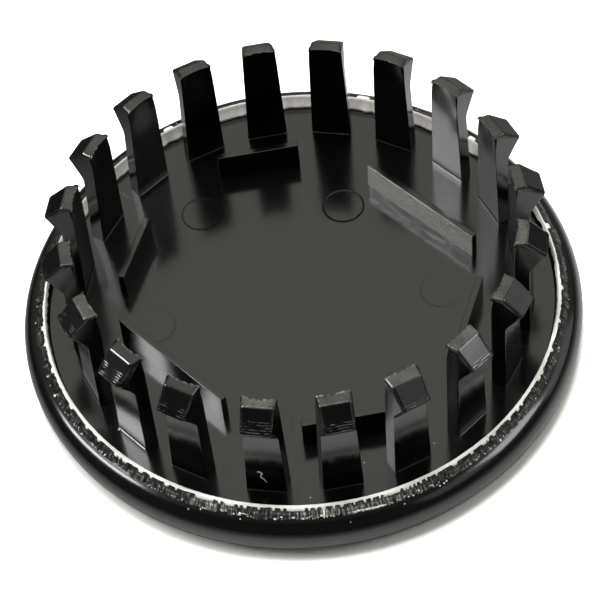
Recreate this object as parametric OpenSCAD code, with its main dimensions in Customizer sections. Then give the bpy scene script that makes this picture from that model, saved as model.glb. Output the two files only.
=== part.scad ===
// Snap-in centre cap for a car wheel, moulded in one piece.
// It lies on its front face with the snap fingers pointing up.
// The origin is the middle of the front face, and the cap's axis is Z.

/* [Plate] */
// Outside diameter over the rim
cap_d = 62; // [61:0.5:64]
// Thickness of the plate, from the front face to the floor behind it
plate_t = 4.3; // [3.6:0.1:5]
// Rounding between the front face and the side of the rim
face_round = 2.4; // [0.6:0.1:2.4]
// Diameter of the shallow field sunk into the front face
field_d = 52; // [40:1:54]
// Depth of that field
field_depth = 0.4; // [0.2:0.1:0.8]

/* [Rim] */
// Inside diameter of the narrow land that rings the back of the rim
ring_d = 56.5; // [56:0.1:57]
// Height of the land above the floor
ring_h = 1.6; // [1.4:0.1:1.8]
// Width of the land
ring_land = 0.35; // [0.2:0.05:0.45]
// How far the step inside the land leans outward from foot to top
step_lean = 0.3; // [0:0.1:0.6]
// Drop from the land to the band outside it
lip_drop = 0.55; // [0.4:0.05:0.8]
// How far the outer side of the land leans outward
lip_lean = 0.15; // [0.05:0.05:0.25]
// Angle at which the band falls towards the shoulder
band_fall = 28; // [24:1:34]
// Rounding of the shoulder, from the band down to the side of the rim
shoulder_round = 2.7; // [2.2:0.1:2.8]

/* [Snap fingers] */
// Number of fingers round the ring
finger_count = 20; // [16:1:22]
// Angle of the first finger from the X axis
finger_phase = 4.5; // [0:0.5:18]
// Height of a finger above the floor
finger_h = 14.3; // [12:0.1:16]
// Radius of the finger's inner face at its base
base_in_r = 23.9; // [23.5:0.1:24.2]
// Thickness of the shank at its base
base_t = 1.6; // [1.4:0.1:1.8]
// Thickness of the shank under the barb
neck_t = 1.45; // [1.2:0.05:1.6]
// How far the inner face leans inward from base to top
inward_lean = 0.35; // [0:0.05:0.6]
// Width of the inner face at its base
base_w = 4.6; // [4:0.1:4.8]
// Width of the inner face at the top
top_w = 3.65; // [3.2:0.05:4]
// How much narrower each side gets for each millimetre outward
side_draft = 0.09; // [0.04:0.01:0.12]
// Rounding between the shank and the floor
base_fillet = 0.5; // [0.3:0.1:0.8]

/* [Barb] */
// Width of the flat on top of the head, measured outward
head_flat = 1.3; // [1:0.1:1.6]
// Radius of the barb's edge
barb_r = 27; // [26.6:0.1:27.4]
// Height of the barb's edge above the floor
barb_h = 12.3; // [11.6:0.1:12.8]
// Height above the floor at which the undercut meets the shank
neck_h = 9.9; // [9.4:0.1:10.4]
// Radius of the concave blend between undercut and shank
undercut_fillet = 1.6; // [0.8:0.1:1.8]
// Depth of the shrunken hollow in the inner face at the top of the head
sink_depth = 0.25; // [0.15:0.05:0.4]
// How far down the inner face the hollow runs
sink_run = 5; // [2:0.5:8]

/* [Locating walls] */
// Height of the straight walls on the floor
wall_h = 3.3; // [2:0.1:4]
// Thickness of the walls
wall_t = 0.8; // [0.6:0.1:1.2]
// Distance from the axis to the outer side of the two long walls
long_wall_r = 17.3; // [16.8:0.1:18]
// Distance from the axis to the outer side of the four shorter walls
short_wall_r = 19.5; // [19:0.1:20]

/* [Ejector marks] */
// Diameter of the round marks left by the ejector pins
mark_d = 5; // [4:0.5:6]
// Depth of the marks
mark_depth = 0.15; // [0.1:0.05:0.3]

/* [Hidden] */
cap_r = cap_d / 2;
floor_z = plate_t;
land_in_r = ring_d / 2;
land_out_r = land_in_r + ring_land;
land_z = floor_z + ring_h;
band_in_r = land_out_r + lip_lean;
band_z = land_z - lip_drop;
// The band runs into the shoulder without a break
shoulder_turn = 90 - band_fall;
shoulder_r = cap_r - shoulder_round;
band_out_r = shoulder_r + shoulder_round * cos(shoulder_turn);
shoulder_z = band_z - (band_out_r - band_in_r) * tan(band_fall) - shoulder_round * sin(shoulder_turn);
// The front rounding leaves at least this much straight side below the shoulder
side_h = 0.1;
front_round = min(face_round, shoulder_z - side_h);
// Shank: the inner and outer faces at any height above the floor
function inner_r(h) = base_in_r - inward_lean * h / finger_h;
function outer_r(h) = base_in_r + base_t + (inner_r(neck_h) + neck_t - base_in_r - base_t) * h / neck_h;
ridge_r = inner_r(finger_h) + head_flat;
side_lean = (base_w - top_w) / 2 / finger_h;
undercut_angle = atan2(barb_h - neck_h, barb_r - outer_r(neck_h));
shank_angle = atan2(neck_h, outer_r(neck_h) - outer_r(0));
sink_r = 6;
// How deep the fingers are rooted in the plate, and the angle at which each root runs down into it
root_depth = 0.4;
root_angle = 30;
// How deep the walls are rooted, and how far cutting tools run past what they cut
wall_root = 0.5;
clear = 1;
sink_tilt = atan(sink_depth / sink_run - inward_lean / finger_h);
// Bearing, distance from the axis to the outer side, and the two ends of each wall
// measured along it; the same three stand again half a turn round
walls = [
    [94.5, short_wall_r, -3, 6.4],
    [41, long_wall_r, -10.6, 5.3],
    [158, short_wall_r, -3.8, 4.9]
];
// Distance from the axis and bearing of each ejector mark
marks = [[16.6, 128], [13.4, 64], [15.5, -5], [16.9, -53], [17.7, -105], [16.5, -173]];
// Steps in each rounded corner of an outline
steps = 8;
$fn = 96;

// Points along an arc, both ends included
function arc(x, y, r, from, to) =
    [for (i = [0:steps]) let (a = from + (to - from) * i / steps) [x + r * cos(a), y + r * sin(a)]];

// Half section of the plate with its rim, turned round the axis
module plate_section() {
    polygon(concat(
        [[0, field_depth], [field_d / 2, field_depth], [field_d / 2 + field_depth, 0]],
        arc(cap_r - front_round, front_round, front_round, -90, 0),
        arc(shoulder_r, shoulder_z, shoulder_round, 0, shoulder_turn),
        [[band_in_r, band_z], [land_out_r, land_z], [land_in_r, land_z]],
        [[land_in_r - step_lean, floor_z], [0, floor_z]]
    ));
}

module plate() {
    rotate_extrude($fn = 180)
        plate_section();
}

// Outline of one finger seen from its side: X is the distance from the axis, Y the height above the floor
module finger_profile() {
    blend = undercut_fillet / tan((180 - shank_angle + undercut_angle) / 2);
    blend_h = neck_h - blend * sin(shank_angle);
    blend_x = outer_r(blend_h) + undercut_fillet * sin(shank_angle);
    blend_y = blend_h - undercut_fillet * cos(shank_angle);
    // The base roundings stop short of level and carry on straight down at the root's angle
    fillet_end = base_fillet * (1 - cos(root_angle));
    root_x = base_fillet * (1 - sin(root_angle)) + (root_depth + fillet_end) / tan(root_angle);
    polygon(concat(
        [[inner_r(0) - root_x, -root_depth]],
        arc(inner_r(0) - base_fillet, base_fillet, base_fillet, root_angle - 90, 0),
        [[inner_r(finger_h), finger_h], [ridge_r, finger_h], [barb_r, barb_h]],
        arc(blend_x, blend_y, undercut_fillet, undercut_angle + 90, shank_angle + 90),
        arc(outer_r(0) + base_fillet, base_fillet, base_fillet, 180, 270 - root_angle),
        [[outer_r(0) + root_x, -root_depth]]
    ));
}

// Everything beyond one side of a finger, cut away to leave the tapered flank
module flank_waste() {
    waste = 2 * base_w;
    translate([base_in_r, base_w / 2, 0])
        rotate([atan(side_lean), 0, -atan(side_draft)])
            translate([-waste / 2, 0, -waste / 2])
                cube([waste, waste, finger_h + waste]);
}

// Shallow hollow that runs out down the inner face
module sink() {
    translate([inner_r(finger_h) + sink_depth - sink_r, 0, finger_h])
        rotate([0, sink_tilt, 0])
            translate([0, 0, -2 * sink_run])
                cylinder(r = sink_r, h = 2 * sink_run + clear);
}

module finger() {
    difference() {
        rotate([90, 0, 0])
            linear_extrude(height = base_w + 2 * clear, center = true)
                finger_profile();
        flank_waste();
        mirror([0, 1, 0])
            flank_waste();
        sink();
    }
}

module finger_ring() {
    for (i = [0:finger_count - 1])
        rotate([0, 0, finger_phase + i * 360 / finger_count])
            translate([0, 0, floor_z])
                finger();
}

// Two walls half a turn apart
module wall_pair(bearing, distance, start, end) {
    for (turn = [0, 180])
        rotate([0, 0, bearing + turn])
            translate([distance - wall_t, start, floor_z - wall_root])
                cube([wall_t, end - start, wall_h + wall_root]);
}

module ejector_mark(distance, bearing) {
    rotate([0, 0, bearing])
        translate([distance, 0, floor_z - mark_depth])
            cylinder(d = mark_d, h = mark_depth + clear, $fn = 48);
}

module centre_cap() {
    color([0.07, 0.07, 0.075])
        union() {
            difference() {
                plate();
                for (m = marks)
                    ejector_mark(m[0], m[1]);
            }
            finger_ring();
            for (w = walls)
                wall_pair(w[0], w[1], w[2], w[3]);
        }
}

centre_cap();
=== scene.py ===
import math
import random

import bmesh
import bpy
from mathutils import Matrix, Quaternion, Vector, noise


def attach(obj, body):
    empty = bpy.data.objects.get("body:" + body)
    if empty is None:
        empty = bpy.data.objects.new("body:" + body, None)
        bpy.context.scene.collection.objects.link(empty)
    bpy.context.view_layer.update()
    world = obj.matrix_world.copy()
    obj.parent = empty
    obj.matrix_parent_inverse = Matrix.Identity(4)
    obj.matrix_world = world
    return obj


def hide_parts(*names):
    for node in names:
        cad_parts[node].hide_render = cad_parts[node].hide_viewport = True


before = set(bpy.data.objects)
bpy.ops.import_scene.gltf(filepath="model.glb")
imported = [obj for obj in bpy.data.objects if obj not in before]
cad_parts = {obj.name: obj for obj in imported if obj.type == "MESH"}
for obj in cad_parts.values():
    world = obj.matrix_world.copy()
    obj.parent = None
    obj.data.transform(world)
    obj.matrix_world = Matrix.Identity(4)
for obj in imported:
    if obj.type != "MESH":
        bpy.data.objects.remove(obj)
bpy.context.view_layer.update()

mm = 0.001
floorHeight = 4.3  # the inner floor lies this far above the front face, in mm
bandRadius = 29  # about the middle of the rough band, in mm
bodyName = "root"


# small helpers

def linearColour(code):
    # sRGB hex to the linear colour that the shaders use
    parts = [int(code[i:i + 2], 16) / 255 for i in (1, 3, 5)]
    return [p / 12.92 if p <= 0.04045 else ((p + 0.055) / 1.055) ** 2.4 for p in parts] + [1]


def perFeature(size):
    # texture scale that makes one feature about this many mm across
    return 1 / (size * mm)


def addNode(tree, kind, settings=None, links=None):
    # a link may name a node, which stands for its first output, or one of a node's outputs
    node = tree.nodes.new("ShaderNode" + kind)
    for name, value in (settings or {}).items():
        if isinstance(name, str) and hasattr(node, name):
            setattr(node, name, value)
        else:
            node.inputs[name].default_value = value
    for name, source in (links or {}).items():
        tree.links.new(getattr(source, "outputs", [source])[0], node.inputs[name])
    return node


def startMaterial(name):
    # a bare material with its output node and object coordinates
    material = bpy.data.materials.new(name)
    material.use_nodes = True
    tree = material.node_tree
    tree.nodes.clear()
    output = addNode(tree, "OutputMaterial")
    place = addNode(tree, "TexCoord").outputs["Object"]
    return material, tree, output, place


def smoothStep(low, high, value):
    t = min(1, max(0, (value - low) / (high - low)))
    return t * t * (3 - 2 * t)


def onRim(radius, height, angle):
    # a point at this radius and height above the inner floor, angle in degrees
    a = math.radians(angle)
    return Vector((radius * math.cos(a), radius * math.sin(a), height + floorHeight)) * mm


def addObject(name, data):
    thing = bpy.data.objects.new(name, data)
    bpy.context.scene.collection.objects.link(thing)
    return thing


def joinLoops(mesh, one, two):
    # a closed belt of faces between two loops of as many points
    for k in range(len(one)):
        j = (k + 1) % len(one)
        mesh.faces.new((one[k], one[j], two[j], two[k]))


def joinTube(mesh, loops):
    # belts between all the loops, and a face over each end
    for one, two in zip(loops, loops[1:]):
        joinLoops(mesh, one, two)
    mesh.faces.new(loops[0])
    mesh.faces.new(loops[-1][::-1])


def finishPiece(mesh, name, materials, evenShading=True):
    # turns a bmesh into a piece of the object that rides with the cap
    bmesh.ops.recalc_face_normals(mesh, faces=mesh.faces)
    data = bpy.data.meshes.new(name)
    mesh.to_mesh(data)
    mesh.free()
    for material in materials:
        data.materials.append(material)
    for face in data.polygons:
        face.use_smooth = True
    piece = addObject(name, data)
    if evenShading:
        shade = piece.modifiers.new("evenShading", "WEIGHTED_NORMAL")
        shade.keep_sharp = True
    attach(piece, bodyName)
    return piece


def roundedPath(corners, steps=4):
    # corners are (x, y, rounding); each rounding becomes a short curve of this many steps
    path = []
    for i, (x, y, rounding) in enumerate(corners):
        here = Vector((x, y))
        if rounding == 0 or i in (0, len(corners) - 1):
            path.append(here)
            continue
        before = Vector(corners[i - 1][:2]) - here
        after = Vector(corners[i + 1][:2]) - here
        turn = math.pi - before.angle(after)
        reach = min(rounding * math.tan(turn / 2), before.length * 0.48, after.length * 0.48)
        start = here + before.normalized() * reach
        end = here + after.normalized() * reach
        for k in range(steps + 1):
            t = k / steps
            path.append(start * (1 - t) ** 2 + here * 2 * t * (1 - t) + end * t ** 2)
    return path


# materials

plasticLook = {
    "colour": "#050506",
    "paleTone": "#9a9a92",  # pale tone: where handling and tools have rubbed or scratched it, and painted highlights on the fingers' lips, side edges, barbs and tool lines
    "scratch": (3.0, 3.0, 0.6),  # mm across the patches of scratches, sideways and in height
    "roughness": 0.15,
    "ior": 1.54,
    "ripple": 1.3,  # mm across one soft ripple left by the mould
    "rippleDepth": 0.0008,
    "scuff": 0.16,  # mm across one scuff
    "scuffDepth": 0.012,
    "dulled": 0.2,  # how much rougher the plastic is where its pale tone is full
    "dust": 0.11,  # mm across one grain of dust
}


def polarPlace(tree, place, alongScale, acrossScale):
    # coordinates that follow the rim: along it in mm, and across it in mm
    parts = addNode(tree, "SeparateXYZ", {}, {"Vector": place})
    turn = addNode(tree, "Math", {"operation": "ARCTAN2"}, {0: parts.outputs["Y"], 1: parts.outputs["X"]})
    along = addNode(tree, "Math", {"operation": "MULTIPLY", 1: bandRadius * alongScale}, {0: turn})
    reach = addNode(tree, "VectorMath", {"operation": "LENGTH"}, {0: place})
    across = addNode(tree, "Math", {"operation": "MULTIPLY", 1: acrossScale / mm},
                     {0: reach.outputs["Value"]})
    return addNode(tree, "CombineXYZ", {}, {"X": along, "Y": across})


def blackNylonBlend(name, look, wearAndSheenName):
    # nylon blend moulded against polished steel: near black, clear reflections that waver a little,
    # paler and duller where the wear and sheen layer says so: where it has been rubbed, and where a highlight is
    # painted on
    material, tree, output, place = startMaterial(name)
    ripple = addNode(tree, "TexNoise",
                     {"Scale": perFeature(look["ripple"]), "Detail": 2.0}, {"Vector": place})
    scuff = addNode(tree, "TexNoise",
                    {"Scale": perFeature(look["scuff"]), "Detail": 4.0, "Roughness": 0.65}, {"Vector": place})
    dust = addNode(tree, "TexNoise", {"Scale": perFeature(look["dust"]), "Detail": 1.0}, {"Vector": place})
    wearAndSheenInput = addNode(tree, "Attribute", {"attribute_name": wearAndSheenName})
    # scratches run level, so the pattern is drawn out sideways
    level = addNode(tree, "VectorMath",
                    {"operation": "MULTIPLY", 1: [perFeature(size) for size in look["scratch"]]}, {0: place})
    scratch = addNode(tree, "TexNoise", {"Scale": 1.0, "Detail": 3.0, "Roughness": 0.6}, {"Vector": level})
    both = addNode(tree, "Math", {"operation": "ADD"}, {0: scuff, 1: scratch})
    patch = addNode(tree, "MapRange", {"From Min": 0.8, "From Max": 1.2, "To Min": 0.1, "To Max": 1.6},
                    {"Value": both})
    amount = addNode(tree, "Math", {"operation": "MULTIPLY", "use_clamp": True},
                     {0: wearAndSheenInput.outputs["Fac"], 1: patch})
    grains = addNode(tree, "MapRange", {"From Min": 0.72, "From Max": 0.86, "To Min": 0.0, "To Max": 0.05},
                     {"Value": dust})
    pale = addNode(tree, "Math", {"operation": "ADD", "use_clamp": True}, {0: amount, 1: grains})
    colour = addNode(tree, "Mix",
                     {"data_type": "RGBA", 6: linearColour(look["colour"]), 7: linearColour(look["paleTone"])},
                     {0: pale})
    dull = addNode(tree, "MapRange",
                   {"From Min": 0.35, "From Max": 0.75,
                    "To Min": look["roughness"] - 0.03, "To Max": look["roughness"] + 0.07},
                   {"Value": scuff})
    roughness = addNode(tree, "Math", {"operation": "MULTIPLY_ADD", "use_clamp": True, 1: look["dulled"]},
                        {0: pale, 2: dull})
    waver = addNode(tree, "Bump", {"Strength": 0.5, "Distance": look["rippleDepth"] * mm}, {"Height": ripple})
    grain = addNode(tree, "Bump", {"Distance": look["scuffDepth"] * mm},
                    {"Height": scuff, "Strength": amount, "Normal": waver})
    surface = addNode(tree, "BsdfPrincipled", {"IOR": look["ior"]},
                      {"Base Color": colour.outputs[2], "Roughness": roughness, "Normal": grain})
    tree.links.new(surface.outputs["BSDF"], output.inputs["Surface"])
    return material


bandLook = {
    "colour": "#111111",
    "dust": "#d6d3ce",
    "roughness": 0.4,
    "grit": 0.2,  # mm across one scratch of the abrasive that dulled the band
    "length": 0.6,  # mm along that scratch
    "pitDepth": 0.04,
}


def sandedNylonBlend():
    # the same plastic rubbed across with coarse abrasive to key the paint: dull, with pale dust in its pits;
    # towards the front that pale colour is partly real dust and partly a painted sheen
    material, tree, output, place = startMaterial("sandedNylonBlend")
    look = bandLook
    spot = polarPlace(tree, place, 1 / look["grit"], 1 / look["length"])
    grit = addNode(tree, "TexNoise", {"Scale": 1.0, "Detail": 4.0, "Roughness": 0.7}, {"Vector": spot})
    wearAndSheenInput = addNode(tree, "Attribute", {"attribute_name": "wearAndSheen"})
    both = addNode(tree, "Math", {"operation": "MULTIPLY_ADD", 1: 0.35}, {0: wearAndSheenInput.outputs["Fac"], 2: grit})
    dust = addNode(tree, "MapRange", {"From Min": 0.56, "From Max": 0.82}, {"Value": both})
    colour = addNode(tree, "Mix",
                     {"data_type": "RGBA", 6: linearColour(look["colour"]), 7: linearColour(look["dust"])},
                     {0: dust})
    pits = addNode(tree, "Bump", {"Strength": 0.9, "Distance": look["pitDepth"] * mm}, {"Height": grit})
    surface = addNode(tree, "BsdfPrincipled", {"Roughness": look["roughness"], "IOR": plasticLook["ior"]},
                      {"Base Color": colour.outputs[2], "Normal": pits})
    tree.links.new(surface.outputs["BSDF"], output.inputs["Surface"])
    return material


paintLook = {
    "colour": "#f3f0eb",
    "stain": "#e9e5df",
    "roughness": 0.5,
    "ior": 1.48,
    "brush": 0.5,  # mm across one blotch of thinner paint
    "lumpDepth": 0.02,
}


def whitePrimer():
    # solvent primer that crept round the masked edge: chalky off-white, a little uneven in thickness
    material, tree, output, place = startMaterial("whitePrimer")
    look = paintLook
    blotch = addNode(tree, "TexNoise", {"Scale": perFeature(look["brush"]), "Detail": 3.0}, {"Vector": place})
    amount = addNode(tree, "MapRange", {"From Min": 0.4, "From Max": 0.7}, {"Value": blotch})
    colour = addNode(tree, "Mix",
                     {"data_type": "RGBA", 6: linearColour(look["colour"]), 7: linearColour(look["stain"])},
                     {0: amount})
    lumps = addNode(tree, "Bump", {"Strength": 0.4, "Distance": look["lumpDepth"] * mm}, {"Height": blotch})
    surface = addNode(tree, "BsdfPrincipled", {"Roughness": look["roughness"], "IOR": look["ior"]},
                      {"Base Color": colour.outputs[2], "Normal": lumps})
    tree.links.new(surface.outputs["BSDF"], output.inputs["Surface"])
    return material


blackNylon = blackNylonBlend("mouldedNylonBlend", plasticLook, "wearAndSheen")
sandedNylon = sandedNylonBlend()
primer = whitePrimer()
print("materials made")


# the plate with its rim

rim = {
    "segments": 720,
    "discRadius": 23.2,  # the flat part of the floor, which carries the walls
    "footRadius": 27.95,
    "landIn": 28.25,
    "landOut": 28.6,
    "landHeight": 1.6,
    "bandIn": 28.75,
    "bandHeight": 1.05,
    "bandFall": 28,  # degrees
    "shoulder": 2.7,
    "side": 30.99,
    "parting": (-1.75, -2.3),  # heights of the two lines left by the joint of the mould
    "partingDepth": 0.03,
    "partingWidth": 0.05,  # half of it
    "faceRound": 2.4,
    "fieldRadius": 26.0,
    "fieldDepth": 0.4,
}
marks = {"size": 5.0, "depth": 0.024, "edge": 0.4, "edgeSteps": 6, "segments": 96,
         "places": ((16.6, 128), (13.4, 64), (15.5, -5), (16.9, -53), (17.7, -105), (16.5, -173))}

shoulderTurn = math.radians(90 - rim["bandFall"])
bandOut = rim["side"] - rim["shoulder"] * (1 - math.cos(shoulderTurn))
bandSlope = math.tan(math.radians(rim["bandFall"]))
shoulderMiddle = (rim["bandHeight"] - (bandOut - rim["bandIn"]) * bandSlope
                  - rim["shoulder"] * math.sin(shoulderTurn))


def bandHeightAt(radius):
    # height of the rough band and of the shoulder outside it
    if radius < bandOut:
        return rim["bandHeight"] - (radius - rim["bandIn"]) * bandSlope
    reach = radius - rim["side"] + rim["shoulder"]
    return shoulderMiddle + math.sqrt(max(0, rim["shoulder"] ** 2 - reach ** 2))


def sideRadius(height):
    # radius of the outside below the shoulder, with the fine parting lines cut into it
    below = max(0, rim["faceRound"] - floorHeight - height)
    radius = rim["side"] - rim["faceRound"] + math.sqrt(max(0, rim["faceRound"] ** 2 - below ** 2))
    for line in rim["parting"]:
        radius -= rim["partingDepth"] * max(0, 1 - abs(height - line) / rim["partingWidth"])
    return radius


def rimSection():
    # half section from the edge of the flat disc, over the rim and under to the sunk field in front
    corners = [(rim["discRadius"], 0, 0), (rim["footRadius"], 0, 0.12), (rim["landIn"], rim["landHeight"], 0.05),
               (rim["landOut"], rim["landHeight"], 0.06), (rim["bandIn"], rim["bandHeight"], 0.12),
               (bandOut - 0.05, bandHeightAt(bandOut - 0.05), 0)]
    path = roundedPath(corners)
    for k in range(25):
        a = shoulderTurn * (1 - k / 24)
        path.append(Vector((rim["side"] + rim["shoulder"] * (math.cos(a) - 1),
                            shoulderMiddle + rim["shoulder"] * math.sin(a))))
    bottom = 0.001 - floorHeight
    heights = []
    for line in rim["parting"]:
        heights += [line + 0.06, line + 0.025, line, line - 0.025, line - 0.06]
    path += [Vector((sideRadius(h), h)) for h in heights if h < shoulderMiddle + 0.1]
    start = path[-1]
    low = [h for h in (start.y - 0.05 * k for k in range(1, 200)) if h > bottom + 0.02]
    path += [Vector((sideRadius(h), h)) for h in low]
    inner = rim["side"] - rim["faceRound"]
    path += [Vector((inner + 0.2, bottom + 0.008)), Vector((inner, bottom))]
    return path + roundedPath([(inner, bottom, 0),
                               (rim["fieldRadius"] + rim["fieldDepth"], bottom, 0.15),
                               (rim["fieldRadius"], bottom + rim["fieldDepth"], 0.15),
                               (rim["fieldRadius"] - 1, bottom + rim["fieldDepth"], 0)], 8)[1:]


def loopEdges(mesh, loop):
    return [mesh.edges.get((one, two)) for one, two in zip(loop, loop[1:] + loop[:1])]


def makePlate():
    section = rimSection()
    mesh = bmesh.new()
    rings = []
    count = rim["segments"]
    for point in section:
        rings.append([mesh.verts.new(onRim(point.x, point.y, 360 * i / count)) for i in range(count)])
    for low, high in zip(rings, rings[1:]):
        joinLoops(mesh, low, high)
    mesh.faces.new(rings[-1])
    # the flat floor, with the shallow round marks of the ejector pins sunk into it
    edges = loopEdges(mesh, rings[0])
    for distance, bearing in marks["places"]:
        middle = onRim(distance, 0, bearing)
        loops = []
        for step in range(marks["edgeSteps"] + 1):
            t = step / marks["edgeSteps"]
            radius = marks["size"] / 2 - marks["edge"] * t
            depth = marks["depth"] * smoothStep(0, 1, t)
            loop = []
            for k in range(marks["segments"]):
                a = math.tau * k / marks["segments"]
                spot = Vector((radius * math.cos(a), radius * math.sin(a), -depth))
                loop.append(mesh.verts.new(middle + spot * mm))
            loops.append(loop)
        for top, low in zip(loops, loops[1:]):
            joinLoops(mesh, top, low)
        edges += loopEdges(mesh, loops[0])
        mesh.faces.new(loops[-1])
    bmesh.ops.triangle_fill(mesh, edges=edges, use_beauty=True)
    piece = finishPiece(mesh, "plateAndRim", [blackNylon])
    piece.data.set_sharp_from_angle(angle=math.radians(50))
    return piece


plate = makePlate()
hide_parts("centre_cap")
print("plate and rim turned")


# snap fingers

finger = {
    "count": 20,
    "firstAngle": 4.5,
    "height": 14.3,
    "lipRise": 0.07,  # flash that stands above the flat top
    "baseIn": 23.9,
    "baseThick": 1.6,
    "neckThick": 1.6,  # as the reflections on the shank show, so it stands nearly upright
    "inwardLean": 0.35,
    "baseWidth": 4.6,
    "topWidth": 3.65,
    "sideDraft": 0.09,
    "innerFillet": 0.12,
    "outerFillet": 0.14,
    "headFlat": 1.3,
    "barbRadius": 27.0,
    "barbHeight": 12.3,
    "neckHeight": 9.9,
    "undercutFillet": 1.6,
    "sinkRun": 5.0,
    "headRound": 0.34,
    "edgeRound": 0.06,
    "ridgeRound": 0.15,
    "leadRows": 44,
    "acrossCount": 24,
}
# what differs from finger to finger: turn in degrees, sink in mm, flash along the top, strength of the
# tool lines, how far they reach up the lead-in, whether they are only ticks at the sides, and how much
# the flat top has been rubbed
fingerDefaults = {"turn": 0.0, "sink": 0.22, "flash": 0.5, "lines": 0.2, "reach": 0.3, "ticks": 0.0,
                  "paleTone": 0.05}
fingerNotes = {
    9: {"turn": 0.2},
    10: {"turn": 0.3, "flash": 0.5, "paleTone": 0.06, "lines": 0.4, "ticks": 1.0},
    11: {"flash": 0.8, "lines": 0.6, "reach": 0.5, "ticks": 1.0, "paleTone": 0.1},
    12: {"flash": 1.0, "lines": 0.9, "reach": 0.62, "ticks": 0.8, "paleTone": 0.0},
    13: {"turn": -0.8, "sink": 0.3, "flash": 1.0, "lines": 0.8, "reach": 0.5, "ticks": 1.0, "paleTone": 0.0},
    14: {"turn": 0.6, "sink": 0.4, "flash": 0.9, "lines": 1.0, "reach": 0.58, "paleTone": 0.2},
    15: {"turn": 0.6, "sink": 0.15, "flash": 0.9, "lines": 1.0, "reach": 0.4, "paleTone": 0.09},
    16: {"sink": -0.06, "flash": 0.8, "lines": 0.9, "reach": 0.25, "paleTone": 0.11},
    17: {"sink": 0.1, "lines": 0.6, "reach": 0.25, "paleTone": 0.15},
    18: {"paleTone": 0.1},
    19: {"paleTone": 0.16},
}


def innerRadius(height):
    return finger["baseIn"] - finger["inwardLean"] * height / finger["height"]


def outerRadius(height):
    base = finger["baseIn"] + finger["baseThick"]
    neck = innerRadius(finger["neckHeight"]) + finger["neckThick"]
    return base + (neck - base) * height / finger["neckHeight"]


def halfWidth(radius, height):
    lean = (finger["baseWidth"] - finger["topWidth"]) / 2 / finger["height"]
    return finger["baseWidth"] / 2 - lean * height - finger["sideDraft"] * (radius - finger["baseIn"])


def fingerSection():
    # side view of a finger as rows of (radius, height, zone, place within the zone, edge rounding)
    f = finger
    top = f["height"] - f["lipRise"]
    ridge = innerRadius(f["height"]) + f["headFlat"]
    small, big, r = f["edgeRound"], f["headRound"], f["ridgeRound"]
    inner, outer = f["innerFillet"], f["outerFillet"]
    rows = [(innerRadius(0) - inner - 0.05, -0.06, "root", 0, small)]
    for k in range(7):
        a = math.radians(-90 + 90 * k / 6)
        rows.append((innerRadius(0) - inner * (1 - math.cos(a)), inner * (1 + math.sin(a)), "root", 0, small))
    innerSteps = 18
    for k in range(1, innerSteps + 1):
        h = inner + (top - 0.2 - inner) * (1 - (1 - k / innerSteps) ** 1.6)
        share = smoothStep(top - 2.5, top, h)
        rounding = small + (big - small) * share
        rows.append((innerRadius(h), h, "inner", smoothStep(top - f["sinkRun"], top, h), rounding))
    # the thin flash that stands along the inner edge of the top
    rows.append((innerRadius(top) - 0.02, top - 0.08, "lip", 0.5, big))
    rows.append((innerRadius(top) - 0.04, top + f["lipRise"] * 0.3, "lip", 1, big))
    rows.append((innerRadius(top), top + f["lipRise"] * 0.6, "lip", 1, big))
    rows.append((innerRadius(top) + 0.05, top + f["lipRise"] * 0.3, "lip", 1, big))
    flatStart = innerRadius(top) + 0.14
    for k in range(9):
        t = k / 8
        rows.append((flatStart + (ridge - r - flatStart) * t, top, "flat", t, big))
    down = Vector((f["barbRadius"] - ridge, f["barbHeight"] - top))
    step = down.normalized()
    for t in (0.2, 0.4, 0.6, 0.8):
        rows.append((ridge - r * (1 - t) ** 2 + step.x * r * t * t, top + step.y * r * t * t, "flat", 1, big))
    for k in range(f["leadRows"] + 1):
        t = k / f["leadRows"]
        along = r + (down.length - r - 0.07) * t
        rows.append((ridge + step.x * along, top + step.y * along, "lead", t, big))
    undercut = math.atan2(f["barbHeight"] - f["neckHeight"], f["barbRadius"] - outerRadius(f["neckHeight"]))
    inward = Vector((-math.cos(undercut), -math.sin(undercut)))
    barb = Vector((f["barbRadius"], f["barbHeight"]))
    for t in (0.2, 0.4, 0.6, 0.8):
        p = barb - step * 0.07 * (1 - t) ** 2 + inward * 0.07 * t * t
        rows.append((p.x, p.y, "barb", t, big))
    shank = math.atan2(f["neckHeight"], outerRadius(f["neckHeight"]) - outerRadius(0))
    blend = f["undercutFillet"] / math.tan((math.pi - shank + undercut) / 2)
    blendHeight = f["neckHeight"] - blend * math.sin(shank)
    bx = outerRadius(blendHeight) + f["undercutFillet"] * math.sin(shank)
    by = blendHeight - f["undercutFillet"] * math.cos(shank)
    first = Vector((bx - f["undercutFillet"] * math.sin(undercut),
                    by + f["undercutFillet"] * math.cos(undercut)))
    start = barb + inward * 0.08
    for t in (0, 0.25, 0.5, 0.75):
        p = start.lerp(first, t)
        rows.append((p.x, p.y, "under", t, big + (small - big) * t))
    for k in range(11):
        a = undercut + math.pi / 2 + (shank - undercut) * k / 10
        rows.append((bx + f["undercutFillet"] * math.cos(a), by + f["undercutFillet"] * math.sin(a),
                     "shank", 0, small))
    for k in range(1, 7):
        h = blendHeight + (outer - blendHeight) * k / 6
        rows.append((outerRadius(h), h, "shank", 0, small))
    for k in range(1, 7):
        a = math.radians(180 + 90 * k / 6)
        rows.append((outerRadius(0) + outer * (1 + math.cos(a)), outer * (1 + math.sin(a)), "root", 0, small))
    rows.append((outerRadius(0) + outer + 0.05, -0.06, "root", 0, small))
    return rows


def sectionNormals(rows):
    # outward direction of the side view at each row
    normals = []
    for i in range(len(rows)):
        before = Vector(rows[max(0, i - 1)][:2])
        after = Vector(rows[min(len(rows) - 1, i + 1)][:2])
        along = (after - before).normalized()
        normals.append(Vector((-along.y, along.x)))
    return normals


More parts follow.
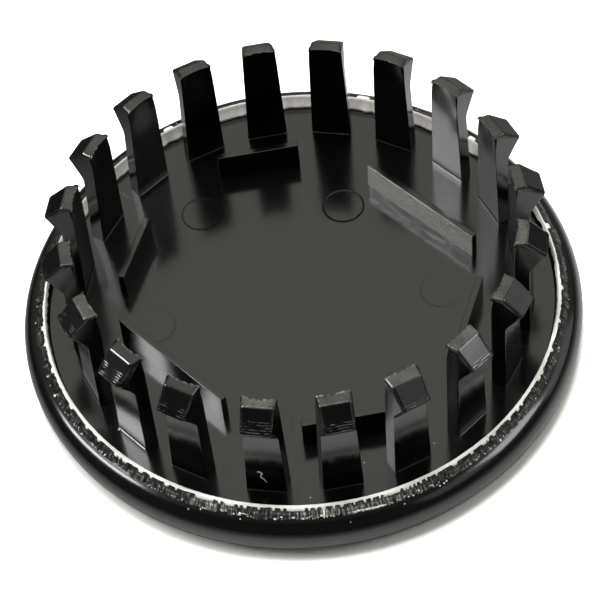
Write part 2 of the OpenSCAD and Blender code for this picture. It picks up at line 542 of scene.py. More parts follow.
def toolLines(t, across, seed, note):
    # fine raised lines that the cutter left across the lower part of the lead-in, 0 to 1
    upper = 1 - note["reach"]
    reach = smoothStep(upper, upper + 0.12, t)
    patch = smoothStep(-0.25, 0.15, noise.noise(Vector((across * 2.5, t * 9, seed))) + 0.12 * abs(across))
    wander = 0.35 * noise.noise(Vector((across * 1.3, seed * 1.7, t)))
    line = max(0, math.cos(math.tau * (t * 10 + wander))) ** 3
    sides = 1 - note["ticks"] * (1 - smoothStep(0.3, 0.6, abs(across)))
    return note["lines"] * reach * patch * line * sides


# the rounded side edges, as (share of the rounding in from the side, share in from the face)
sideRound = [(1 - math.sin(a), 1 - math.cos(a)) for a in (math.pi / 2 * (1 - k / 6) for k in range(7))]


def makeFinger(mesh, wearAndSheen, index, rows, normals):
    note = dict(fingerDefaults, **fingerNotes.get(index, {}))
    seed = index * 7.3
    bearing = finger["firstAngle"] + index * 360 / finger["count"] + note["turn"]
    turn = Matrix.Rotation(math.radians(bearing), 3, "Z")
    inside = finger["acrossCount"]
    stations = [(-1, out, into) for out, into in sideRound]
    stations += [(-1 + 2 * k / inside, None, 0) for k in range(1, inside)]
    stations += [(1, out, into) for out, into in reversed(sideRound)]
    grid = []
    for (radius, height, zone, t, rounding), normal in zip(rows, normals):
        line = []
        wide = halfWidth(radius, height)
        for place, out, into in stations:
            if out is None:
                y = place * (wide - rounding)
            else:
                y = place * (wide - out * rounding)
            across = y / wide
            x = radius - normal.x * into * rounding
            z = height - normal.y * into * rounding
            sink = note["sink"] * (1 - across * across)
            paleTone = 0
            if zone == "inner":
                x += sink * t
            elif zone == "lip":
                ragged = noise.noise(Vector((across * 5, seed, 3)))
                ragged += 0.6 * noise.noise(Vector((across * 16, seed, 8)))
                flash = note["flash"] * min(1, max(0, 0.5 + ragged))
                x += sink - 0.14 * t * flash
                z += (-0.06 + 0.06 * flash) * t
                # painted highlight: the flash lip is made paler where it catches the light
                paleTone = 0.35 * flash * t
            elif zone == "flat":
                x += sink * (1 - t)
                z += 0.006 * noise.noise(Vector((radius * 7, across * 8, seed)))
                paleTone = note["paleTone"]
            elif zone == "lead":
                line01 = toolLines(t, across, seed, note) * (1 if out is None else 0.5)
                x += normal.x * 0.03 * line01
                z += normal.y * 0.03 * line01
                # the tool lines are made paler: partly cutter scratches, partly a painted highlight where they
                # catch the light
                paleTone = 0.45 * line01
            elif zone == "barb":
                # painted highlight along the edge of the barb
                paleTone = 0.2 * note["lines"]
            # painted glints: the rounded side edges of the head are made a little paler
            if out is not None and zone in ("flat", "lead", "barb") and into > 0.05:
                paleTone = max(paleTone, 0.04)
            point = turn @ Vector((x, y, 0))
            vert = mesh.verts.new(Vector((point.x, point.y, z + floorHeight)) * mm)
            vert[wearAndSheen] = paleTone
            line.append(vert)
        grid.append(line)
    for i in range(len(grid)):
        j = (i + 1) % len(grid)
        for a in range(len(stations) - 1):
            mesh.faces.new((grid[i][a], grid[i][a + 1], grid[j][a + 1], grid[j][a]))
    mesh.faces.new([line[0] for line in grid])
    mesh.faces.new([line[-1] for line in reversed(grid)])


def makeFingers():
    rows = fingerSection()
    normals = sectionNormals(rows)
    mesh = bmesh.new()
    wearAndSheen = mesh.verts.layers.float.new("wearAndSheen")
    for index in range(finger["count"]):
        makeFinger(mesh, wearAndSheen, index, rows, normals)
    return finishPiece(mesh, "snapFingers", [blackNylon])


fingers = makeFingers()
print("snap fingers made:", finger["count"])


# fine lines left by the inserts of the mould between the fingers

insertLines = {"inner": 23.95, "outer": 27.1, "offsets": (7.3, -5.6), "halfWidth": 0.03, "rise": 0.015,
               # the circle left by the core of the mould shows only here and there: first and last angle
               "circle": ((-157, -153), (-139.5, -134), (-131, -127.5), (-115.5, -108.8), (-97.2, -92.5),
                          (-78.5, -74), (-61, -58.5), (-43, -38)),
               "circleWidth": 0.02, "circleRise": 0.009}


def addRidge(mesh, points, halfWidth, rise):
    # a low three-sided ridge along the floor
    rails = []
    for i, point in enumerate(points):
        along = (points[min(i + 1, len(points) - 1)] - points[max(i - 1, 0)]).normalized()
        sideways = Vector((-along.y, along.x, 0)) * halfWidth
        low = Vector((0, 0, -0.03))
        rails.append([mesh.verts.new((p + Vector((0, 0, floorHeight))) * mm) for p in
                      (point + sideways + low, point + Vector((0, 0, rise)), point - sideways + low)])
    joinTube(mesh, rails)


def makeInsertLines():
    mesh = bmesh.new()
    for index in range(finger["count"]):
        middle = finger["firstAngle"] + index * 360 / finger["count"]
        for offset in insertLines["offsets"]:
            bend = noise.noise(Vector((index * 3.7, offset, 0)))
            points = []
            for k in range(7):
                t = k / 6
                a = math.radians(middle + offset + bend * (1 + 0.6 * t))
                r = insertLines["inner"] + (insertLines["outer"] - insertLines["inner"]) * t
                points.append(Vector((r * math.cos(a), r * math.sin(a), 0)))
            addRidge(mesh, points, insertLines["halfWidth"], insertLines["rise"])
    for first, last in insertLines["circle"]:
        points = []
        for k in range(13):
            a = math.radians(first + (last - first) * k / 12)
            points.append(Vector((math.cos(a), math.sin(a), 0)) * insertLines["inner"])
        addRidge(mesh, points, insertLines["circleWidth"], insertLines["circleRise"])
    return finishPiece(mesh, "insertLines", [blackNylon], evenShading=False)


lines = makeInsertLines()


# straight walls on the floor

wall = {
    "height": 3.3,
    "thick": 0.8,
    "draft": 0.04,  # how much each side leans in from foot to top
    "edgeRound": 0.07,
    "root": 0.3,
    # bearing, distance to the outer side, and the two ends of each, repeated half a turn round
    "places": ((94.5, 19.5, -3.0, 6.4), (41, 17.3, -10.6, 5.3), (158, 19.5, -3.8, 4.9)),
    "scuffed": (41, 0.95),  # bearing of the wall whose inner face is scuffed, and how much
}


def makeWalls():
    mesh = bmesh.new()
    for bearing, distance, start, end in wall["places"]:
        for half in (0, 180):
            turn = Matrix.Rotation(math.radians(bearing + half), 3, "Z")
            corners = []
            for height, lean in ((-wall["root"], 0), (wall["height"], wall["draft"])):
                for x, y in ((distance - wall["thick"] + lean, start + lean), (distance - lean, start + lean),
                             (distance - lean, end - lean), (distance - wall["thick"] + lean, end - lean)):
                    corners.append(mesh.verts.new((turn @ Vector((x, y, height + floorHeight))) * mm))
            for face in ((0, 1, 2, 3), (4, 5, 6, 7), (0, 1, 5, 4), (1, 2, 6, 5), (2, 3, 7, 6), (3, 0, 4, 7)):
                mesh.faces.new([corners[i] for i in face])
    bmesh.ops.recalc_face_normals(mesh, faces=mesh.faces)
    bmesh.ops.bevel(mesh, geom=list(mesh.edges), offset=wall["edgeRound"] * mm, segments=3,
                    profile=0.5, affect="EDGES", clamp_overlap=True)
    bearing, amount = wall["scuffed"]
    inward = [distance - wall["thick"] for place, distance, _, _ in wall["places"] if place == bearing][0]
    outward = Vector((math.cos(math.radians(bearing)), math.sin(math.radians(bearing)), 0))
    wearAndSheen = mesh.verts.layers.float.new("wearAndSheen")
    for vert in mesh.verts:
        reach = vert.co.dot(outward) / mm
        sideways = (vert.co / mm - outward * reach).xy.length
        if abs(reach - inward) < wall["draft"] + 0.01 and sideways < 12:
            vert[wearAndSheen] = amount
    return finishPiece(mesh, "locatingWalls", [blackNylon])


walls = makeWalls()
print("walls made")


# the rough band and the white paint on the rim

def rimPoint(distance):
    # follows the step, the land, its outer side and the band: distance from the step's foot, in mm,
    # to (radius, height) and the outward direction there
    corners = [Vector((rim["footRadius"], 0.02)), Vector((rim["landIn"], rim["landHeight"])),
               Vector((rim["landOut"], rim["landHeight"])), Vector((rim["bandIn"], rim["bandHeight"]))]
    left = distance
    for start, end in zip(corners, corners[1:]):
        length = (end - start).length
        if left <= length:
            along = (end - start).normalized()
            return start + along * left, Vector((-along.y, along.x))
        left -= length
    along = Vector((math.cos(math.radians(rim["bandFall"])), -math.sin(math.radians(rim["bandFall"]))))
    return corners[-1] + along * left, Vector((-along.y, along.x))


stepLength = math.hypot(rim["landIn"] - rim["footRadius"], rim["landHeight"] - 0.02)
landLength = rim["landOut"] - rim["landIn"]
lipLength = math.hypot(rim["bandIn"] - rim["landOut"], rim["landHeight"] - rim["bandHeight"])


def around(angle, scale):
    # a place on a circle for noise that closes on itself all round the rim, scale in mm
    a = math.radians(angle)
    return Vector((math.cos(a), math.sin(a), 0)) * bandRadius / scale


band = {
    "count": 2600,
    "rows": 18,
    "width": 0.8,
    "chip": (0.6, 2.6),  # length of one chip along the rim, from shortest to longest
    "crease": 0.07,  # half width of the gap between two chips
    "height": 0.03,
}


def bandChips():
    # the ends of the chips round the rim in degrees, with a width, a rise and a paleness for each
    dice = random.Random(5)
    chips, angle = [], -180.0
    while angle < 180:
        length = math.degrees(dice.uniform(*band["chip"]) / bandRadius)
        end = 180.0 if angle + length > 178.5 else angle + length
        chips.append((angle, end, dice.uniform(0.78, 1.12), dice.uniform(-0.3, 0.7), dice.uniform(0.1, 0.9)))
        angle = end
    return chips


def makeBand():
    # a thin rough skin from the land's outer edge over the lip and down the band, broken into chips
    mesh = bmesh.new()
    wearAndSheen = mesh.verts.layers.float.new("wearAndSheen")
    count, rowCount = band["count"], band["rows"]
    chips = bandChips()
    current = 0
    rings = [[] for _ in range(rowCount + 1)]
    for i in range(count):
        angle = -180 + 360 * i / count
        while angle >= chips[current][1]:
            current += 1
        first, last, wide, rise, pale = chips[current]
        gap = math.radians(min(angle - first, last - angle)) * bandRadius
        crease = math.exp(-(gap / band["crease"]) ** 2) * smoothStep(-0.2, 0.4, rise)
        width = band["width"] * wide + 0.05 * noise.noise(around(angle, 0.4))
        width -= 0.16 * math.exp(-(gap / 0.16) ** 2)
        start = stepLength + landLength + 0.05
        # the sides are smoother and darker than the front: the front's heavier pale dust is partly real dust and
        # partly painted sheen
        side = 0.25 + 0.75 * smoothStep(-155, -125, angle) * smoothStep(-62, -82, angle)
        frontDustAndSheen = 0.25 + 0.75 * smoothStep(-134, -104, angle) * smoothStep(-60, -82, angle)
        for k in range(rowCount + 1):
            t = k / rowCount
            s = start + (lipLength + width - 0.05) * t
            point, normal = rimPoint(s)
            rough = noise.noise(around(angle, 0.45) + Vector((0, 0, s * 2.6)))
            rough += 0.6 * noise.noise(around(angle, 0.17) + Vector((0, 0, s * 5)))
            edgeFade = smoothStep(0, 0.08, t) * smoothStep(0, 0.12, 1 - t)
            onBand = smoothStep(start + lipLength * 0.6, start + lipLength * 1.2, s)
            lift = -0.02 + edgeFade * (0.024 + side * band["height"] * (rough + rise) * (0.4 + 0.6 * onBand)
                                       * (1 - crease) - side * 0.02 * crease)
            p = point + normal * lift
            vert = mesh.verts.new(onRim(p.x, p.y, angle))
            streak = noise.noise(around(angle, 0.16) + Vector((0, 0, s * 1.3)))
            vert[wearAndSheen] = onBand * (1 - crease) * frontDustAndSheen * (pale + 0.8 * streak) * (0.5 + 0.5 * t)
            rings[k].append(vert)
    for low, high in zip(rings, rings[1:] + rings[:1]):
        joinLoops(mesh, low, high)
    return finishPiece(mesh, "sandedBand", [sandedNylon], evenShading=False)


sandedBand = makeBand()
print("rough band made")

paint = {
    "count": 2600,
    "skin": 0.03,  # thickness in mm
    "runSkin": 0.08,  # and how much thicker where it has run over the band
    "overLip": 0.45,  # every run crosses the lip by this much, in mm, and adds this share of its length
    "runGain": 0.75,
    "foot": 0.5,  # how far the paint has crept in over the floor behind, in mm
    "bareStep": (0.5, 0.88),  # share of the step's height that stayed bare, at the sides and at the front
    "stepRows": 6,
    "landRows": 3,
    "runRows": 8,
    # runs of paint over the outer edge: angle in degrees, half width and reach in mm
    "runs": ((-176.0, 0.2, 0.35), (-171.5, 0.15, 0.4), (-164.2, 0.25, 0.3), (-153.5, 0.3, 0.25),
             (-147.0, 0.2, 0.3), (-142.8, 0.2, 0.4),
             (-137.3, 0.22, 0.75), (-136.2, 0.15, 0.5), (-134.8, 0.3, 0.4), (-130.4, 0.25, 0.65),
             (-127.7, 0.12, 0.35), (-123.8, 0.22, 0.8), (-121.5, 0.1, 0.4),
             (-116.2, 0.35, 0.85), (-115.0, 0.4, 1.05), (-113.6, 0.2, 0.6), (-111.8, 0.12, 0.4),
             (-109.7, 0.45, 0.7), (-108.9, 0.14, 0.9), (-107.6, 0.1, 0.55), (-106.3, 0.15, 0.6),
             (-103.4, 0.1, 0.5), (-100.4, 0.12, 0.3), (-98.6, 0.12, 0.5), (-97.2, 0.2, 0.45),
             (-95.8, 0.6, 0.72), (-94.4, 0.2, 0.95), (-93.0, 0.1, 0.7), (-91.6, 0.1, 0.35),
             (-90.1, 0.16, 1.2), (-88.0, 0.1, 0.4), (-86.3, 0.14, 0.5), (-83.7, 0.08, 0.35), (-81.5, 0.1, 0.3),
             (-80.0, 0.09, 0.65), (-78.3, 0.08, 0.55), (-77.0, 0.2, 0.4),
             (-75.6, 0.4, 0.75), (-74.6, 0.3, 1.0), (-72.9, 0.12, 0.7), (-72.2, 0.14, 0.95), (-71.2, 0.12, 0.7),
             (-70.3, 0.08, 0.8), (-69.2, 0.1, 0.7), (-67.9, 0.07, 0.5), (-65.5, 0.08, 0.35), (-61.0, 0.3, 0.2),
             (-56.5, 0.15, 0.25), (-53.0, 0.25, 0.95), (-51.9, 0.12, 0.6), (-50.0, 0.2, 0.3), (-45.0, 0.15, 0.25),
             (-42.0, 0.2, 0.3), (-40.4, 0.15, 0.4), (-32.8, 0.3, 0.7), (-31.2, 0.25, 0.45), (-25.0, 0.2, 0.25),
             (-17.0, 0.15, 0.3), (-8.0, 0.2, 0.25), (9.5, 0.25, 0.5), (150, 0.3, 0.3), (118, 0.4, 0.2),
             (70, 0.5, 0.2), (41, 0.3, 0.35)),
    # gaps in those runs, where the plastic shows: angle, half width and distance past the land, in mm
    "holes": ((-75.1, 0.12, 0.45), (-74.2, 0.1, 0.62), (-115.4, 0.09, 0.75), (-95.2, 0.08, 0.6)),
}


def paintReach(angle):
    # how far the paint runs past the land's outer edge, in mm, down over the lip and the band
    a = math.radians(angle)
    reach = -0.03 + 0.09 * noise.noise(around(angle, 1.6)) + 0.07 * noise.noise(around(angle, 0.4))
    nearSide = smoothStep(0.45, -0.35, math.sin(a))
    reach -= 0.33 * (1 - nearSide)
    for middle, half, length in paint["runs"]:
        turn = (angle - middle + 180) % 360 - 180
        off = math.radians(turn) * rim["landOut"] / half
        if abs(off) < 1.5:
            wobble = 1 + 0.3 * noise.noise(around(angle, 0.25))
            run = (paint["overLip"] + length * paint["runGain"]) * wobble
            reach = max(reach, run * (1 - smoothStep(0.45, 1.4, abs(off))))
    return max(-landLength + 0.02, reach)


def makePaint():
    # one closed skin: up the step from the floor, over the land, and out along the runs
    mesh = bmesh.new()
    shares = ([("step", k / paint["stepRows"]) for k in range(paint["stepRows"] + 1)]
              + [("land", k / paint["landRows"]) for k in range(1, paint["landRows"] + 1)]
              + [("run", k / paint["runRows"]) for k in range(1, paint["runRows"] + 1)])
    columns = []
    for i in range(paint["count"]):
        angle = 360 * i / paint["count"]
        reach = paintReach(angle)
        far = smoothStep(0.15, 0.5, math.sin(math.radians(angle)))
        beside, front = paint["bareStep"]
        near = smoothStep(-0.55, -0.85, math.sin(math.radians(angle)))
        bare = (beside + (front - beside) * near) * (1 + 0.5 * noise.noise(around(angle, 0.7)))
        bare = (1 - far) * min(0.93, bare)
        landEnd = landLength + min(0, reach)
        runEnd = max(0.03, reach)
        column = []
        for part, t in shares:
            if part == "step":
                s = stepLength * (bare + (1 - bare) * t)
            elif part == "land":
                s = stepLength + landEnd * t
            else:
                s = stepLength + landEnd + runEnd * t
            point, normal = rimPoint(s)
            lumps = 0.014 * noise.noise(around(angle, 0.4) + Vector((0, 0, s * 3)))
            thick = paint["skin"] + lumps
            if part == "step":
                # a swollen foot where the paint pooled against the step
                pool = paint["foot"] * (0.75 + 0.5 * noise.noise(around(angle, 0.9)))
                thick += far * pool * (1 - t) ** 1.6
                if t == 0:
                    thick = far * thick - 0.02 * (1 - far)
            elif part == "run":
                thick = (paint["skin"] + paint["runSkin"] * smoothStep(0.05, 0.3, reach) + lumps) * (1 - t ** 6)
                thick -= 0.03 * t ** 8
                for middle, half, distance in paint["holes"]:
                    along = math.radians((angle - middle + 180) % 360 - 180) * rim["landOut"]
                    if math.hypot(along, s - stepLength - landLength - distance) < half:
                        thick = -0.03
            p = point + normal * thick
            if part == "step":
                p.y = max(p.y, 0.01)
            column.append(p)
        # the hidden back of the skin
        for s in (stepLength + landEnd + runEnd, stepLength + landEnd, stepLength, stepLength * bare):
            point, normal = rimPoint(s)
            column.append(point - normal * 0.06)
        columns.append([mesh.verts.new(onRim(p.x, p.y, angle)) for p in column])
    for one, two in zip(columns, columns[1:] + columns[:1]):
        joinLoops(mesh, one, two)
    return finishPiece(mesh, "edgePaint", [primer], evenShading=False)


makePaint()
print("paint laid")


# flecks of paint and dust

flecks = {
    # angle, radius, size in mm
    "onRim": ((-159.0, 29.42, 0.3), (-155.5, 28.9, 0.3), (-153.8, 28.85, 0.35), (-151.8, 28.9, 0.4),
              (-150.4, 28.95, 0.45), (-147.0, 28.9, 0.35), (-139.7, 29.1, 0.4), (-138.8, 28.95, 0.3),
              (-137.0, 28.98, 0.3), (-135.8, 29.0, 0.3), (-134.6, 29.0, 0.25), (-133.3, 29.0, 0.25),
              (-132.7, 29.05, 0.2), (-128.9, 29.04, 0.3), (-126.6, 29.05, 0.18), (-125.4, 28.9, 0.22),
              (-122.0, 29.08, 0.45), (-120.2, 29.0, 0.3), (-119.6, 29.18, 0.2), (-117.8, 29.9, 0.14),
              (-115.4, 29.6, 0.16), (-113.4, 29.12, 0.28), (-111.4, 28.9, 0.32), (-110.2, 29.09, 0.2),
              (-109.2, 29.0, 0.3), (-107.2, 29.22, 0.32), (-107.0, 29.7, 0.12), (-102.4, 28.9, 0.18),
              (-101.9, 29.14, 0.28), (-101.1, 28.85, 0.16), (-100.0, 29.4, 0.25), (-98.8, 29.16, 0.25),
              (-98.3, 28.9, 0.2), (-96.4, 29.24, 0.22), (-94.4, 29.36, 0.22), (-92.8, 29.13, 0.2),
              (-93.8, 29.1, 0.14), (-90.6, 29.21, 0.25), (-73.9, 29.8, 0.14), (-71.6, 29.4, 0.22),
              (-70.2, 29.19, 0.2), (-67.7, 28.9, 0.14), (-67.7, 29.19, 0.18), (-67.1, 29.11, 0.26),
              (-66.1, 29.03, 0.16), (-65.8, 29.6, 0.14), (-64.8, 29.55, 0.18), (-64.1, 29.5, 0.2),
              (-61.6, 28.98, 0.4), (-57.6, 28.9, 0.3), (-56.4, 29.3, 0.2), (-54.5, 28.99, 0.2),
              (-49.5, 29.28, 0.3), (-47.0, 29.01, 0.2), (-42.4, 29.1, 0.2), (-39.9, 28.9, 0.25),
              (-44.2, 28.98, 0.15), (6.3, 29.1, 0.2), (-85.1, 30.1, 0.1)),
    "gain": 1.25,  # how much larger they are made than listed, so that they show
    "lift": 0.045,  # how far they stand above the band, in mm
    "scattered": 620,  # smaller ones, anywhere on the band
    "nearSide": (-92, 34, 0.85),  # most of them lie about this angle, with this spread and share
    # a scraped-up strip of paint along the band: first and last angle, radius at both, width in mm
    "strip": (-85.5, -77.3, 29.22, 29.36, 0.16),
    # angle, radius, size in mm, on the floor between the fingers and inside them
    "onFloor": ((-143.6, 25.71, 0.4), (-138.8, 25.59, 0.2), (-134.8, 26.22, 0.16), (-92.8, 26.4, 0.14),
                (-78.4, 23.3, 0.12), (-69.7, 22.47, 0.1), (-60.2, 24.6, 0.12)),
}


def addFleck(mesh, angle, radius, height, size, dice):
    # an irregular flake, almost flat on top
    sides = 9
    a = math.radians(angle)
    outward = Vector((math.cos(a), math.sin(a), 0))
    sideways = Vector((-outward.y, outward.x, 0))
    onBand = radius > rim["bandIn"]
    slope = (bandHeightAt(radius + 0.05) - bandHeightAt(radius - 0.05)) / 0.1 if onBand else 0
    downhill = Vector((outward.x, outward.y, slope)).normalized()
    up = downhill.cross(sideways)
    if up.z < 0:
        up = -up
    middle = Vector((radius * outward.x, radius * outward.y, height + floorHeight))
    stretch = dice.uniform(0.6, 1.5)
    twist = dice.uniform(0, math.pi)
    loops = []
    reaches = [dice.uniform(0.45, 1.2) * size / 2 for _ in range(sides)]
    for share, rise in ((1.0, -0.04), (0.92, 0.035), (0.5, 0.055)):
        loop = []
        for k in range(sides):
            b = math.tau * k / sides
            u = math.cos(b) * stretch * reaches[k] * share
            v = math.sin(b) / stretch * reaches[k] * share
            u, v = u * math.cos(twist) - v * math.sin(twist), u * math.sin(twist) + v * math.cos(twist)
            loop.append(mesh.verts.new((middle + sideways * u + downhill * v + up * rise) * mm))
        loops.append(loop)
    for low, high in zip(loops, loops[1:]):
        joinLoops(mesh, low, high)
    mesh.faces.new(loops[0][::-1])
    mesh.faces.new(loops[-1])


def addStrip(mesh):
    first, last, near, far, width = flecks["strip"]
    steps = 70
    rings = []
    for k in range(steps + 1):
        t = k / steps
        angle = first + (last - first) * t
        radius = near + (far - near) * t + 0.05 * noise.noise(Vector((t * 9, 0, 4)))
        half = width / 2 * (0.55 + 0.9 * abs(noise.noise(Vector((t * 16, 5, 0)))))
        half = half * min(1, 8 * t, 8 * (1 - t)) + 0.01
        ring = []
        for across, rise in ((-half, -0.04), (-half * 0.8, 0.09), (half * 0.8, 0.09), (half, -0.04)):
            ring.append(mesh.verts.new(onRim(radius + across, bandHeightAt(radius + across) + rise, angle)))
        rings.append(ring)
    joinTube(mesh, rings)


def makeFlecks():
    dice = random.Random(11)
    mesh = bmesh.new()
    for angle, radius, size in flecks["onRim"]:
        addFleck(mesh, angle, radius, bandHeightAt(radius) + flecks["lift"], size * flecks["gain"], dice)
    middle, spread, share = flecks["nearSide"]
    for _ in range(flecks["scattered"]):
        radius = dice.uniform(28.82, 29.42)
        angle = dice.gauss(middle, spread) if dice.random() < share else dice.uniform(-180, 180)
        addFleck(mesh, angle, radius, bandHeightAt(radius) + 0.04, dice.uniform(0.06, 0.19), dice)
    for angle, radius, size in flecks["onFloor"]:
        addFleck(mesh, angle, radius, 0, size, dice)
    addStrip(mesh)
    return finishPiece(mesh, "paintFlecks", [primer], evenShading=False)


makeFlecks()

# a loose pale fibre that clings to the foot of one finger
fibre = {
    "bearing": -103.5,  # of the finger
    "radius": 0.06,
    "sides": 8,
    # sideways and height in mm
    "bends": ((-0.5, 3.3), (-0.2, 3.26), (0.02, 3.02), (-0.16, 2.72), (-0.2, 2.4), (0.02, 2.16), (0.2, 1.86),
              (0.26, 1.6), (0.42, 1.5)),
}


def makeFibre():
    mesh = bmesh.new()
    points = []
    for sideways, height in fibre["bends"]:
        angle = fibre["bearing"] + math.degrees(sideways / outerRadius(height))
        points.append(onRim(outerRadius(height) + fibre["radius"] * 0.6, height, angle))
    rings = []
    for i, point in enumerate(points):
        along = (points[min(i + 1, len(points) - 1)] - points[max(i - 1, 0)]).normalized()
        one = along.orthogonal().normalized()
        if rings:
            one = (before - along * before.dot(along)).normalized()
        before = one
        two = along.cross(one)
        thick = fibre["radius"] * (0.5 if i in (0, len(points) - 1) else 1)
        rings.append([mesh.verts.new(point + (one * math.cos(a) + two * math.sin(a)) * thick * mm)
                      for a in (math.tau * k / fibre["sides"] for k in range(fibre["sides"]))])
    joinTube(mesh, rings)
    return finishPiece(mesh, "looseFibre", [primer], evenShading=False)


makeFibre()
print("flecks scattered")


# floor under the cap, lights and camera

stageLook = {
    "floorSize": 4.0,  # metres
    "floorColour": "#dedddb",
    "floorWhite": 2.3,  # the white floor is overexposed for the camera, as in a catalogue picture
    "mirroredPaintedLight": (0.1, 1.2),  # painted light: its brightness in reflections, at the far left and at the near right
    "mirroredSide": (0.8, -0.6, 0),  # from the dark side to the bright one
    "mirroredSpan": (-45, 25),  # mm over which that changes
    "mirroredPaintedFall": (36, 50, 0.25),  # painted shade: further out it falls to this share, between these distances in mm
}


def makeFloor():
    mesh = bmesh.new()
    bmesh.ops.create_circle(mesh, cap_ends=True, radius=stageLook["floorSize"] / 2, segments=96)
    data = bpy.data.meshes.new("studioFloor")
    mesh.to_mesh(data)
    mesh.free()
    floor = addObject("studioFloor", data)
    # matt white board: overexposed for the camera, and in reflections painted with light and shade: darker
    # towards the far left and further out
    material, tree, output, place = startMaterial("whiteBoard")
    rays = addNode(tree, "LightPath")
    seen = addNode(tree, "Math", {"operation": "MAXIMUM"},
                   {0: rays.outputs["Is Glossy Ray"], 1: rays.outputs["Is Transmission Ray"]})
    plain = linearColour(stageLook["floorColour"])
    side = addNode(tree, "VectorMath", {"operation": "DOT_PRODUCT", 1: stageLook["mirroredSide"]}, {0: place})
    low, high = stageLook["mirroredPaintedLight"]
    start, end = stageLook["mirroredSpan"]
    shade = addNode(tree, "MapRange",
                    {"From Min": start * mm, "From Max": end * mm, "To Min": low, "To Max": high},
                    {"Value": side.outputs["Value"]})
    near, outer, share = stageLook["mirroredPaintedFall"]
    reach = addNode(tree, "VectorMath", {"operation": "LENGTH"}, {0: place})
    fall = addNode(tree, "MapRange",
                   {"From Min": near * mm, "From Max": outer * mm, "To Min": 1.0, "To Max": share},
                   {"Value": reach.outputs["Value"]})
    level = addNode(tree, "Math", {"operation": "MULTIPLY"}, {0: shade, 1: fall})
    mirrored = addNode(tree, "Mix", {"data_type": "RGBA", 6: [0, 0, 0, 1], 7: [1, 1, 1, 1]}, {0: level})
    shown = addNode(tree, "Mix",
                    {"data_type": "RGBA", 6: plain, 7: [c * stageLook["floorWhite"] for c in plain[:3]] + [1]},
                    {0: rays.outputs["Is Camera Ray"]})
    colour = addNode(tree, "Mix", {"data_type": "RGBA"},
                     {0: seen, 6: shown.outputs[2], 7: mirrored.outputs[2]})
    surface = addNode(tree, "BsdfDiffuse", {}, {"Color": colour.outputs[2]})
    tree.links.new(surface.outputs["BSDF"], output.inputs["Surface"])
    data.materials.append(material)
    return floor


makeFloor()

# each softbox: bearing and height in degrees, distance, width and height in metres, how far it is turned on
# its own axis, its brightness where the plastic mirrors it, and its brightness as the light that it casts
softboxes = {
    "keyLeft": (181.5, 35.5, 0.8, 0.42, 0.11, 45, 20.0, 9.0),
    "keyHigh": (171, 52.5, 0.8, 0.15, 0.13, 0, 56.0, 18.0),
    "backLeft": (148, 54, 0.8, 0.22, 0.15, 0, 12.0, 12.0),
    "fillRight": (346.5, 38.5, 0.8, 0.3, 0.26, 0, 7.4, 3.0),
    "glowRight": (10, 23, 0.8, 0.36, 0.34, 0, 1.0, 0.5),
    "nearRight": (318, 36, 0.8, 0.3, 0.3, 0, 0.7, 0.7),
    "overhead": (90, 82, 0.9, 0.3, 0.25, 0, 6.0, 22.0),
}


def addSoftbox(name, bearing, height, distance, width, depth, turn, mirrored, cast):
    a, e = math.radians(bearing), math.radians(height)
    away = Vector((math.cos(a) * math.cos(e), math.sin(a) * math.cos(e), math.sin(e)))
    facing = away.to_track_quat("Z", "Y") @ Quaternion((0, 0, 1), math.radians(turn))
    for part, level in (("Mirrored", mirrored), ("Cast", cast)):
        lamp = bpy.data.lights.new(name + part, "AREA")
        lamp.shape = "RECTANGLE"
        lamp.size, lamp.size_y = width, depth
        lamp.energy = level * width * depth * math.pi
        holder = addObject(name + part, lamp)
        holder.location = away * distance
        holder.rotation_euler = facing.to_euler()
        holder.visible_camera = False
        holder.visible_diffuse = part == "Cast"
        holder.visible_glossy = part == "Mirrored"


for name, box in softboxes.items():
    addSoftbox(name, *box)


# brightness of the room from the camera's side (-1) to high behind the cap (1)
room = ((-0.5, 0.08), (0.0, 0.1), (0.3, 0.06), (0.55, 0.22), (0.8, 0.42), (0.92, 0.6), (0.975, 0.85),
        (0.992, 1.3), (1.0, 1.36))


brightSide = (0, 0.56, 0.828)  # towards the brightest part of the room


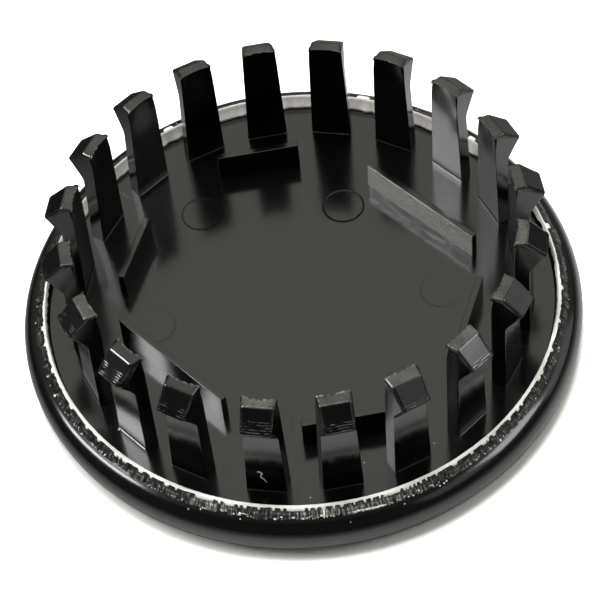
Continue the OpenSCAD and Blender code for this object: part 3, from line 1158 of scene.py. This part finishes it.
def makeWorld():
    # a pale ceiling behind the cap that fades to a dark room on the camera's side
    world = bpy.data.worlds.new("studio")
    bpy.context.scene.world = world
    world.use_nodes = True
    tree = world.node_tree
    tree.nodes.clear()
    output = addNode(tree, "OutputWorld")
    place = addNode(tree, "TexCoord").outputs["Generated"]
    height = addNode(tree, "VectorMath", {"operation": "DOT_PRODUCT", 1: brightSide}, {0: place})
    spread = addNode(tree, "MapRange", {"From Min": -1.0, "From Max": 1.0},
                     {"Value": height.outputs["Value"]})
    ramp = addNode(tree, "ValToRGB", {}, {"Fac": spread})
    stops = ramp.color_ramp.elements
    brightest = room[-1][1]
    for i, (where, level) in enumerate(room):
        stop = stops[i] if i < len(stops) else stops.new(1)
        stop.position = (where + 1) / 2
        # a trace of green-yellow, as in the light on the cap's floor
        stop.color = [level / brightest * share for share in (0.99, 1.0, 0.9)] + [1]
    back = addNode(tree, "Background", {"Strength": brightest}, {"Color": ramp.outputs["Color"]})
    tree.links.new(back.outputs["Background"], output.inputs["Surface"])


makeWorld()
print("stage set")

# the camera stands in front of the cap and looks down on it, turned a little on its own axis
view = {
    "height": 52.775,  # degrees above the horizon
    "distance": 247.994,  # mm
    "target": (-0.178, -0.671, floorHeight),
    "roll": 6.121,  # degrees
    "lens": 134.8,
    "sensor": 36.0,
}


def makeCamera():
    e, r = math.radians(view["height"]), math.radians(view["roll"])
    back = Vector((0, -math.cos(e), math.sin(e)))
    up = Vector((0, math.sin(e), math.cos(e)))
    right = Vector((1, 0, 0))
    turnedRight = right * math.cos(r) - up * math.sin(r)
    turnedUp = right * math.sin(r) + up * math.cos(r)
    data = bpy.data.cameras.new("camera")
    data.lens = view["lens"]
    data.sensor_width = view["sensor"]
    data.clip_start, data.clip_end = 0.01, 20
    camera = addObject("camera", data)
    camera.matrix_world = Matrix.Translation((Vector(view["target"]) + back * view["distance"]) * mm) @ \
        Matrix((turnedRight, turnedUp, back)).transposed().to_4x4()
    bpy.context.scene.camera = camera


makeCamera()
bpy.context.scene.view_settings.view_transform = "Standard"
